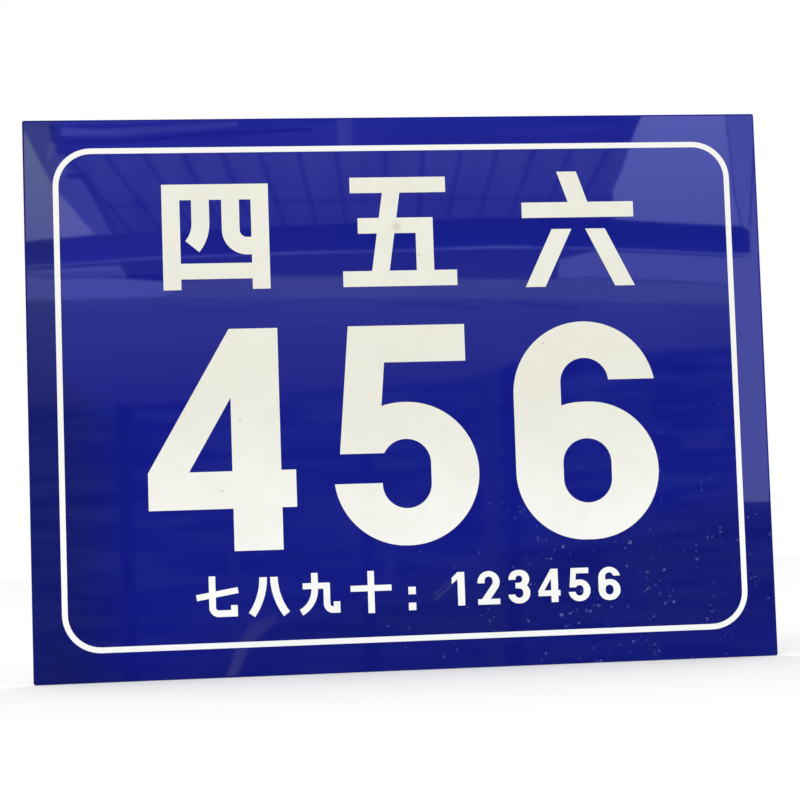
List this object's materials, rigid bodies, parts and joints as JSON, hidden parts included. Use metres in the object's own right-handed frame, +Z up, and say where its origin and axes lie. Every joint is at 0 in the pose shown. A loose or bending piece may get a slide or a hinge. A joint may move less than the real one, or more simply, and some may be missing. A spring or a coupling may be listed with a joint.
{
  "type": "building number plate",
  "caption": "Flat rectangular wall plate with a glossy blue face, a round-cornered border line and rows of large and small numerals in cream film.",
  "frame": {"origin": "centre of the plate's back face, where it lies on the wall", "axes": "upright as on a wall: +X to the reader's right, +Z up, +Y into the wall, so the face looks along -Y"},
  "size_m": [0.4, 0.0017, 0.3],
  "materials": {
    "blue_coat": "high gloss",
    "cream_film": "matt"
  },
  "bodies": {
    "root": {"plate": "blue_coat", "border_line": "cream_film", "heading_four": "cream_film", "heading_five": "cream_film", "heading_six": "cream_film", "number_four": "cream_film", "number_five": "cream_film", "number_six": "cream_film", "label_seven": "cream_film", "label_eight": "cream_film", "label_nine": "cream_film", "label_ten": "cream_film", "label_colon": "cream_film", "code_one": "cream_film", "code_two": "cream_film", "code_three": "cream_film", "code_four": "cream_film", "code_five": "cream_film", "code_six": "cream_film"}
  },
  "joints": []
}
